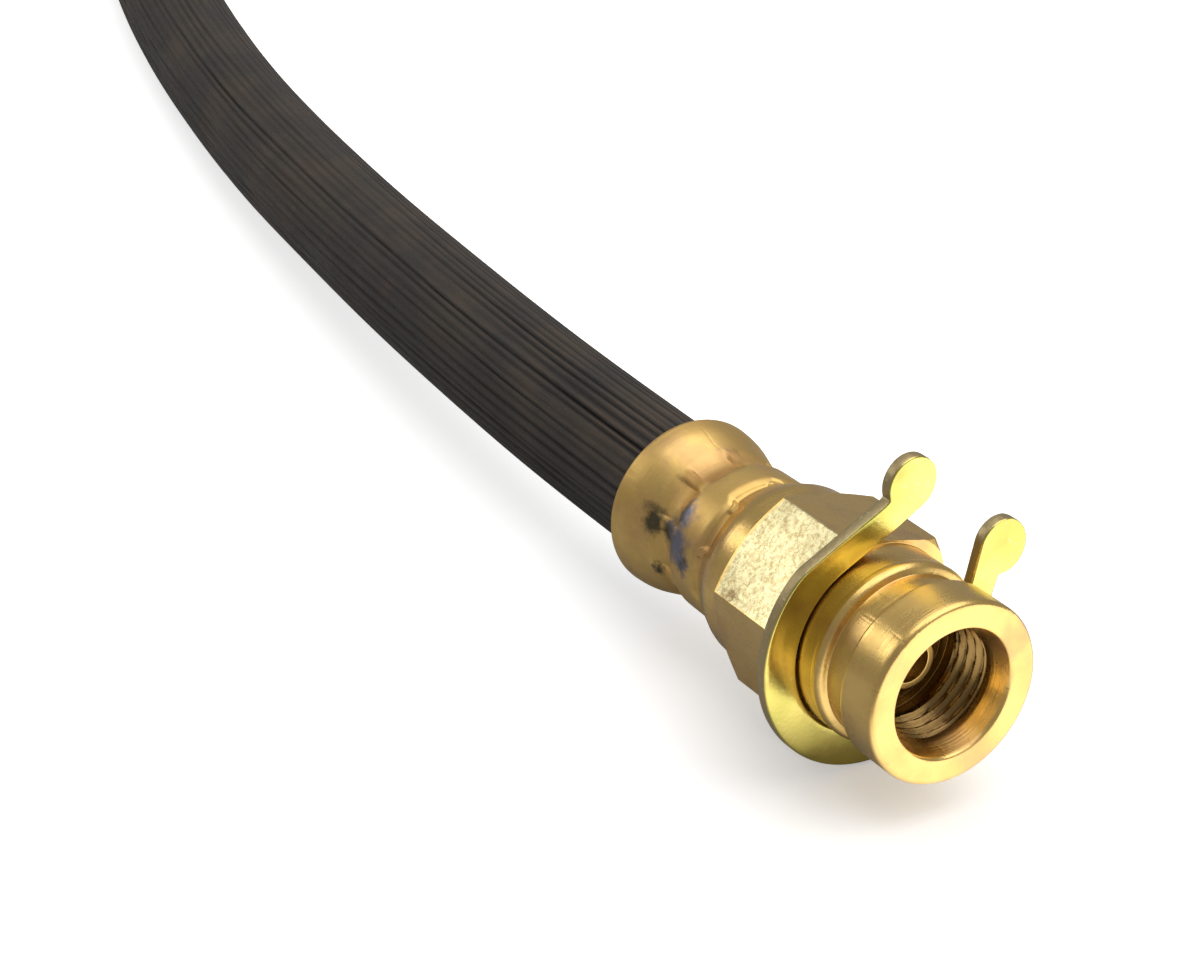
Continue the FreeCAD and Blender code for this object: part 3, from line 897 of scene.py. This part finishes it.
def floor_material():
    """Pale seamless floor that glows, painted light. To the camera it glows more towards the hose,
    which lightens the shadows there; in reflections and bounced light it is darker, painted shade,
    but for a glowing patch before the nose, a painted pool of light.
    """
    material, tree, shader, coordinates = start_material("pale_floor", 0.0, 0.6)
    shade = noise(tree, coordinates["Object"], 3.0, 2.0, 0.5)
    base = blend(tree, shade, (0.90, 0.90, 0.90), (0.93, 0.93, 0.93))
    seen = add_node(tree, "ShaderNodeLightPath").outputs["Is Camera Ray"]
    # Painted shade: everything but camera rays sees a dim floor colour.
    base = blend(tree, seen, (0.34, 0.34, 0.34), base)
    tree.links.new(base, shader.inputs["Base Color"])
    place = add_node(tree, "ShaderNodeSeparateXYZ", {"Vector": coordinates["Object"]}).outputs
    # Painted pool of light: a glowing patch before the nose, seen only in reflections.
    lit = maths(tree, "MULTIPLY", levels(tree, place["X"], -0.006, 0.003),
                levels(tree, place["Y"], -0.035, 0.0))
    painted_light_pool = blend(tree, lit, (0.05, 0.05, 0.05), (1.55, 1.55, 1.55))
    # Painted light: to the camera the floor glows more towards the hose, which lightens the shadows
    # there.
    shown = blend(tree, levels(tree, place["X"], -0.05, -0.01), (0.66, 0.66, 0.66),
                  (0.38, 0.38, 0.38))
    glow = blend(tree, seen, painted_light_pool, shown)
    tree.links.new(glow, shader.inputs["Emission Color"])
    shader.inputs["Emission Strength"].default_value = 1.0
    return material


def shared_groups():
    """The node groups, built once and found again by name."""
    makers = {"handling": handling_group, "scratches": scratch_group,
              "tool_marks": tool_mark_group}
    return {name: bpy.data.node_groups.get(name) or make() for name, make in makers.items()}


# ---- operators -------------------------------------------------------------------------------

class HOSE_OT_stage(bpy.types.Operator):
    """Camera, pale floor and soft lights"""
    bl_idname = "brake_hose.stage"
    bl_label = "Stage"

    target = Vector((-56.11 * MM, 6.18 * MM, FLOOR))
    azimuth = math.radians(-31.65)
    elevation = math.radians(27.11)
    distance = 0.26132
    lens = 93.0

    def execute(self, context):
        scene = context.scene
        toward = Vector((math.cos(self.elevation) * math.cos(self.azimuth),
                         math.cos(self.elevation) * math.sin(self.azimuth),
                         math.sin(self.elevation)))
        camera = bpy.data.objects.new("camera", bpy.data.cameras.new("camera"))
        camera.data.lens = self.lens
        camera.data.sensor_width = 36.0
        camera.data.clip_start = 0.01
        camera.location = self.target + toward * self.distance
        camera.rotation_euler = toward.to_track_quat("Z", "Y").to_euler()
        scene.collection.objects.link(camera)
        scene.camera = camera
        self.add_floor(scene)
        self.add_light(scene, "top_softbox", (-0.06, 0.10, 0.55), 0.70, 2.4)
        self.add_light(scene, "back_left_softbox", (-0.46, -0.30, 0.29), 0.20, 0.27)
        self.add_light(scene, "front_softbox", (0.35, 0.20, 0.45), 0.40, 0.8)
        world = bpy.data.worlds.new("studio")
        world.use_nodes = True
        background = world.node_tree.nodes["Background"]
        background.inputs["Color"].default_value = (1.0, 0.99, 0.97, 1.0)
        background.inputs["Strength"].default_value = 0.33
        scene.world = world
        scene.view_settings.view_transform = "Standard"
        return {"FINISHED"}

    def add_floor(self, scene):
        mesh = bpy.data.meshes.new("floor")
        reach = 3.0
        mesh.from_pydata([(-reach, -reach, FLOOR), (reach, -reach, FLOOR), (reach, reach, FLOOR),
                          (-reach, reach, FLOOR)], [], [(0, 1, 2, 3)])
        floor = bpy.data.objects.new("floor", mesh)
        floor.data.materials.append(floor_material())
        scene.collection.objects.link(floor)

    def add_light(self, scene, name, place, size, power):
        light = bpy.data.lights.new(name, "AREA")
        light.shape = "SQUARE"
        light.size = size
        light.energy = power
        lamp = bpy.data.objects.new(name, light)
        lamp.location = place
        way = Vector(place) - Vector((-0.05, 0.0, FLOOR))
        lamp.rotation_euler = way.to_track_quat("Z", "Y").to_euler()
        scene.collection.objects.link(lamp)


class HOSE_OT_port_fitting(bpy.types.Operator):
    """Brass port fitting with its thread, flare seat and nipple"""
    bl_idname = "brake_hose.port_fitting"
    bl_label = "Port fitting"

    def execute(self, context):
        sizes = context.scene.brake_fitting
        groups = shared_groups()
        angles = ring_angles(sizes.hex_phase)
        stations = nose_stations(sizes)
        stations += hexagon_stations(angles, sizes, sizes.hex_phase, sizes.neck_radius)
        stations += shell_stations(angles, sizes, context.scene.brake_cover)
        stations += port_stations(sizes)
        x, radius, zones, colours = fitting_points(stations, angles, sizes)
        depth = thread_depth(x, angles[None, :], THREAD_PITCH)
        fade = 1 - smooth(THREAD_START - 0.4 * MM, THREAD_START, x)
        cut = (sizes.thread_major - sizes.crest_radius) * depth * fade
        radius = radius + cut * (zones == THREAD)[:, None]
        points = turned_points(x, radius, angles[None, :])
        body = surface("port_fitting", points, colours, (1000.0, 40.0))
        brass = brass_material("port_brass", sizes, groups, stain=True)
        dress(body, brass, "hose", "brass_body", "port_body")
        seat_radius = sizes.crest_radius - 0.05 * MM
        seat = simple_ring("flare_cone", [
            (PORT_BOTTOM, seat_radius), (PORT_BOTTOM + SEAT_BASE, seat_radius),
            (SEAT_TIP, SEAT_TOP_RADIUS), (SEAT_TIP, SEAT_BORE_RADIUS),
            (PORT_BOTTOM, SEAT_BORE_RADIUS)])
        seat_metal = plain_metal("seat_brass", sizes.brass, 0.22, groups, sizes.tarnish)
        dress(seat, seat_metal, "hose", "brass_body", "flare_seat")
        stem = simple_ring("port_nipple", stem_outline(PORT_BOTTOM, STEM_BACK), 48)
        steel = plain_metal("nipple_steel", (0.56, 0.56, 0.57), 0.3, groups, (0.3, 0.28, 0.26))
        dress(stem, steel, "hose", "steel_stem", "port_stem")
        return {"FINISHED"}


class HOSE_OT_end_fitting(bpy.types.Operator):
    """Male end fitting with its nipple and copper washer"""
    bl_idname = "brake_hose.end_fitting"
    bl_label = "End fitting"

    collar_radius = 6.9 * MM
    collar_length = 1.6 * MM
    stub_length = 12.0 * MM
    stub_chamfer = 0.7 * MM
    undercut_depth = 0.4 * MM
    undercut_margin = 0.6 * MM
    thread_height = 0.6 * MM
    washer_radius = 6.8 * MM
    washer_gap = 0.05 * MM
    washer_thickness = 1.2 * MM

    def execute(self, context):
        sizes = context.scene.brake_fitting
        groups = shared_groups()
        place = far_end_place()
        angles = ring_angles()
        major = sizes.thread_major
        collar = -HEX_START + self.collar_length
        tip = collar + self.stub_length
        undercut = collar + self.washer_gap + self.washer_thickness + self.undercut_margin
        depth = self.undercut_depth
        stations = [
            (tip, BORE_RADIUS, 0.1 * MM, 4, TURNED),
            (tip, major - self.stub_chamfer, 0.08 * MM, 3, TURNED),
            (tip - self.stub_chamfer, major, 0.05 * MM, 100, MALE),
            (undercut, major, 0.05 * MM, 2, TURNED),
            (undercut - depth, major - depth, 0.1 * MM, 4, TURNED),
            (collar, major - depth, 0.1 * MM, 4, TURNED),
            (collar, self.collar_radius, 0.15 * MM, 5, TURNED),
        ]
        stations += hexagon_stations(angles, sizes, 0.0, 6.88 * MM)
        stations += shell_stations(angles, sizes, context.scene.brake_cover)
        stations.append((-POCKET_BOTTOM, BORE_RADIUS, 0.05 * MM, 6, INSIDE))
        x, radius, zones, colours = fitting_points(stations, angles, sizes)
        threads = (zones == MALE)[:, None]
        fade = smooth(undercut, undercut + self.undercut_margin, x)
        cut = self.thread_height * thread_depth(x, angles[None, :], THREAD_PITCH)
        radius = radius - cut * fade * threads
        points = moved(turned_points(x, radius, angles[None, :]), place)
        body = surface("end_fitting", points, colours, (1000.0, 40.0))
        brass = brass_material("end_brass", sizes, groups, place)
        dress(body, brass, "hose", "brass_body", "end_body")
        outline = stem_outline(-HEX_START, -POCKET_BOTTOM - STEM_REACH)
        stem = simple_ring("end_nipple", outline, 48, place)
        steel = bpy.data.materials["nipple_steel"]
        dress(stem, steel, "hose", "steel_stem", "end_stem")
        front = collar + self.washer_gap
        inner = major + 0.08 * MM
        back = front + self.washer_thickness
        washer = simple_ring("sealing_washer", [
            (front, inner), (front, self.washer_radius), (back, self.washer_radius),
            (back, inner)], 96, place, 0.12 * MM)
        copper = plain_metal("washer_copper", sizes.copper, 0.28, groups, (0.42, 0.16, 0.08))
        dress(washer, copper, "washer", "washer_copper", "copper_washer")
        return {"FINISHED"}


class HOSE_OT_hose(bpy.types.Operator):
    """Ribbed cover, two braids, the cushion between them and the lining"""
    bl_idname = "brake_hose.hose"
    bl_label = "Hose"

    # piece, node, inner and outer radius
    layers = (
        ("outer_weave", "outer_braid", 3.3 * MM, 3.8 * MM),
        ("cushion", "cushion_layer", 2.9 * MM, 3.3 * MM),
        ("inner_weave", "inner_braid", 2.4 * MM, 2.9 * MM),
        ("lining", "inner_tube", 1.6 * MM, 2.4 * MM),
    )

    def execute(self, context):
        sizes = context.scene.brake_cover
        groups = shared_groups()
        line = hose_line()
        cover = self.add_cover(line, sizes)
        dress(cover, cover_material(sizes, groups), "hose", "cover_rubber", "hose_cover")
        yarn = yarn_material(sizes, groups)
        rubber = lining_material("lining_rubber", (0.022, 0.021, 0.02), groups)
        for name, node, low, high in self.layers:
            woven = "braid" in node
            layer = self.add_layer(name, line, low, high, woven)
            slot = "braid_fabric" if woven else "cover_rubber"
            dress(layer, yarn if woven else rubber, "hose", slot, node)
        return {"FINISHED"}

    def add_cover(self, line, sizes):
        """Outside radius R - d(s, a) (1 - |sin(N b / 2)|), squeezed in both pockets.

        b is the angle a, shifted by a few waves so that no two ribs are alike and each one
        wanders a little along the hose. Zones mark the valleys, which the cover's material
        darkens with painted shade.
        """
        total = line_length(line)
        grip = -RIM - POCKET_BOTTOM
        ends = np.array([0.0, 4.0, 8.2, 8.6, 9.0, 9.4, 9.8, 10.1, 10.5, 11.5]) * MM
        run = np.concatenate([ends, np.linspace(12.4 * MM, total - 12.4 * MM, 140),
                              total - ends[::-1]])
        columns = sizes.rib_count * 9
        angles = ring_angles(columns=columns)
        s, a = np.meshgrid(run, angles, indexing="ij")
        nearest = np.minimum(s, total - s)
        squeezed = smooth(grip - 3.8 * MM, grip - 2.3 * MM, nearest)
        base = sizes.pocket_radius + (sizes.radius - sizes.pocket_radius) * squeezed
        warped = a + 0.045 * ripple(5, a, (3, 8, 13, 19))
        warped = warped + 0.012 * ripple(8, a * 5 + s * 95, (1, 2))
        valley = 1 - np.abs(np.sin(sizes.rib_count * warped / 2))
        uneven = 0.55 + 0.45 * ripple(6, a, (5, 11, 17, 29))
        uneven = uneven + 0.25 * ripple(9, a * 4 + s * 60, (1, 2))
        uneven = np.clip(uneven, 0.05, 1.2) * (1 + 0.7 * smooth(0.075, 0.02, s))
        outer = base - sizes.rib_depth * valley * uneven
        outer += 0.05 * MM * ripple(7, a * 2 + s * 60, (1, 2, 3)) * squeezed
        inside_run = np.linspace(0.0, total, 44)
        inner = np.full((len(inside_run), columns), self.layers[0][3])
        points = np.concatenate([tube_points(line, run, outer, angles),
                                 tube_points(line, inside_run[::-1], inner, angles)])
        zones = np.zeros(points.shape)
        # Red zone: the depth of each valley, which the cover's material turns into painted shade.
        zones[:len(run), :, 0] = np.clip(valley * uneven * 1.3, 0, 1)
        return surface("hose_cover_ribbed", points, zones, (1000.0, 40.0), 60)

    def add_layer(self, name, line, low, high, woven):
        """Tube between two radii. A woven one swells by b |sin(n a + k s) sin(n a - k s)|."""
        total = line_length(line)
        columns = 96 if woven else 48
        run = np.linspace(0.0, total, 300 if woven else 60)
        angles = ring_angles(columns=columns)
        s, a = np.meshgrid(run, angles, indexing="ij")
        outer = np.full(s.shape, high)
        if woven:
            turns = 8
            lay = turns / (high * math.tan(math.radians(35)))
            outer = outer - 0.06 * MM + 0.05 * MM * np.abs(np.sin(turns * a + lay * s)
                                                         * np.sin(turns * a - lay * s))
        inside_run = np.linspace(0.0, total, 60)[::-1]
        inner = np.full((len(inside_run), columns), low)
        points = np.concatenate([tube_points(line, run, outer, angles),
                                 tube_points(line, inside_run, inner, angles)])
        return surface(name, points, None, (1000.0, 20.0), 60)


class HOSE_OT_clip(bpy.types.Operator):
    """Horseshoe clip with two round ears"""
    bl_idname = "brake_hose.clip"
    bl_label = "Clip"

    def execute(self, context):
        sizes = context.scene.brake_clip
        points, zones = self.band(sizes)
        piece = surface("horseshoe_clip", points, zones, (1000.0, 1.0), 45, close_rows=False)
        self.close_tips(piece)
        material = plating_material(sizes, shared_groups())
        dress(piece, material, "clip", "clip_zinc", "retaining_clip")
        return {"FINISHED"}

    def edges(self, sizes):
        """Inner and outer edge of half the clip, from the ring's bottom to an ear's tip.

        Across the opening is u and towards it is v. The ring's edges are circles. n is the
        direction in which both the ring's inside and the ear touch the arm's inner edge, so
        n . P = R there. The ear's chord at the distance q from its centre is sqrt(r^2 - q^2).
        """
        inside, ear = sizes.inner_radius, sizes.ear_radius
        spread = sizes.ear_spread
        turn = math.pi / 2 - spread - math.acos((inside + ear) / sizes.ear_distance)
        n = np.array([math.cos(turn), math.sin(turn)])
        d = np.array([-n[1], n[0]])
        centre = sizes.ear_distance * np.array([math.sin(spread), math.cos(spread)])
        angles = np.linspace(math.pi, math.pi / 2 - turn, 90)
        spoke = np.stack([np.sin(angles), np.cos(angles)], axis=-1)
        limit = (inside + sizes.arm_width) / np.maximum(spoke @ n, 0.3)
        gap = np.sqrt((limit - sizes.outer_radius) ** 2 + (0.12 * MM) ** 2)
        outer_radius = (limit + sizes.outer_radius - gap) / 2
        ring = spoke * inside, spoke * outer_radius[:, None]
        q = np.concatenate([np.linspace(-centre @ d, -ear - 0.7 * MM, 20)[1:],
                            np.linspace(-ear - 0.7 * MM, -0.8 * ear, 16)[1:],
                            ear * np.sin(np.linspace(math.asin(-0.8), math.pi / 2, 34))[1:]])
        chord = np.where(np.abs(q) < ear, np.sqrt(np.maximum(ear ** 2 - q ** 2, 0)),
                         -1.6 * (np.abs(q) - ear))
        low = sizes.arm_width - ear
        soft = 0.45 * MM * (1 - smooth(-0.9 * ear, -0.2 * ear, q))
        outer = (low + chord + np.sqrt((chord - low) ** 2 + soft ** 2)) / 2
        outer = np.where(q > 0, chord, outer)
        inner = np.where(q > 0, -chord, -ear)
        along = centre + q[:, None] * d
        arm = along + inner[:, None] * n, along + outer[:, None] * n
        return np.concatenate([ring[0], arm[0]]), np.concatenate([ring[1], arm[1]]), n

    def band(self, sizes):
        """Rounded oblong sections between the two edges, and the edge's zone colour.

        The ears lean back behind a crease by the square of the distance past it, which soon
        becomes a straight line.
        """
        inner, outer, n = self.edges(sizes)
        inner = np.concatenate([inner[:0:-1] * (-1, 1), inner])
        outer = np.concatenate([outer[:0:-1] * (-1, 1), outer])
        line = (inner + outer) / 2
        width = np.linalg.norm(outer - inner, axis=1) / 2
        across = (outer - inner) / np.maximum(2 * width, 1e-9)[:, None]
        across[0] = n * (-1, 1)
        across[-1] = n
        width = np.maximum(width, 1e-7)
        section, normal_edge = self.section((CLIP_FRONT - CLIP_BACK) / 2)
        offset = section[None, :, 0] * np.maximum(width - CLIP_EDGE, 0)[:, None]
        offset = offset + section[None, :, 2] * np.minimum(width, CLIP_EDGE)[:, None]
        plane = line[:, None] + across[:, None] * offset[..., None]
        steps = np.linalg.norm(np.diff(line, axis=0), axis=1)
        run = np.concatenate([[0.0], np.cumsum(steps)])
        from_tip = np.minimum(run, run[-1] - run)
        crease = 2 * sizes.ear_radius + 0.9 * MM
        lean = np.maximum(crease - from_tip, 0.0)
        lean = lean ** 2 / (lean + 0.5 * MM) * math.tan(sizes.ear_bend)
        depth = section[None, :, 1] - lean[:, None]
        middle = (CLIP_FRONT + CLIP_BACK) / 2
        x = middle + depth - 0.008 * plane[..., 1]
        turn = sizes.opening
        u, v = plane[..., 0], plane[..., 1]
        y = u * math.sin(turn) + v * math.cos(turn)
        z = -u * math.cos(turn) + v * math.sin(turn)
        points = np.stack([x, y, z], axis=-1)
        zones = np.zeros(points.shape)
        zones[..., 0] = normal_edge[None, :]
        return points, zones

    def section(self, half):
        """Rounded oblong: columns are the flat's share across, the depth and the edge's share."""
        flat = np.linspace(-1, 1, 9)
        corner = np.radians([22, 45, 68])
        r = CLIP_EDGE
        rows = [(k, half, 0.0) for k in flat]
        rows += [(1, half - r * (1 - math.cos(c)), math.sin(c)) for c in corner]
        rows += [(1, half - r, 1), (1, 0.0, 1), (1, -half + r, 1)]
        rows += [(1, -half + r * (1 - math.cos(c)), math.sin(c)) for c in corner[::-1]]
        rows += [(k, -half, 0.0) for k in flat[::-1]]
        rows += [(-1, -half + r * (1 - math.cos(c)), -math.sin(c)) for c in corner]
        rows += [(-1, -half + r, -1), (-1, 0.0, -1), (-1, half - r, -1)]
        rows += [(-1, half - r * (1 - math.cos(c)), -math.sin(c)) for c in corner[::-1]]
        section = np.array(rows, dtype=float)
        return section, (np.abs(section[:, 2]) > 0.8) * 1.0

    def close_tips(self, piece):
        """Merges the points that meet at both ears' tips."""
        mesh = bmesh.new()
        mesh.from_mesh(piece.data)
        bmesh.ops.remove_doubles(mesh, verts=mesh.verts, dist=2e-6)
        bmesh.ops.recalc_face_normals(mesh, faces=mesh.faces)
        mesh.to_mesh(piece.data)
        mesh.free()


class HOSE_PT_panel(bpy.types.Panel):
    """Lists the operators and their sizes"""
    bl_idname = "HOSE_PT_panel"
    bl_label = "Brake Hose"
    bl_space_type = "VIEW_3D"
    bl_region_type = "UI"
    bl_category = "Brake Hose"

    def draw(self, context):
        for operator in OPERATORS:
            self.layout.operator(operator.bl_idname)
        for settings in (context.scene.brake_fitting, context.scene.brake_cover,
                         context.scene.brake_clip):
            box = self.layout.box()
            for name in settings.__annotations__:
                box.prop(settings, name)


OPERATORS = (HOSE_OT_stage, HOSE_OT_port_fitting, HOSE_OT_end_fitting, HOSE_OT_hose,
             HOSE_OT_clip)
CLASSES = (FittingSettings, HoseSettings, ClipSettings) + OPERATORS + (HOSE_PT_panel,)


def register():
    """Adds the classes and the three groups of settings."""
    for item in CLASSES:
        bpy.utils.register_class(item)
    bpy.types.Scene.brake_fitting = PointerProperty(type=FittingSettings)
    bpy.types.Scene.brake_cover = PointerProperty(type=HoseSettings)
    bpy.types.Scene.brake_clip = PointerProperty(type=ClipSettings)


def unregister():
    """Takes away what register added."""
    del bpy.types.Scene.brake_clip
    del bpy.types.Scene.brake_cover
    del bpy.types.Scene.brake_fitting
    for item in reversed(CLASSES):
        bpy.utils.unregister_class(item)


def main():
    """Builds everything."""
    register()
    bpy.ops.brake_hose.stage()
    bpy.ops.brake_hose.port_fitting()
    bpy.ops.brake_hose.end_fitting()
    bpy.ops.brake_hose.hose()
    bpy.ops.brake_hose.clip()


if __name__ == "__main__":
    main()
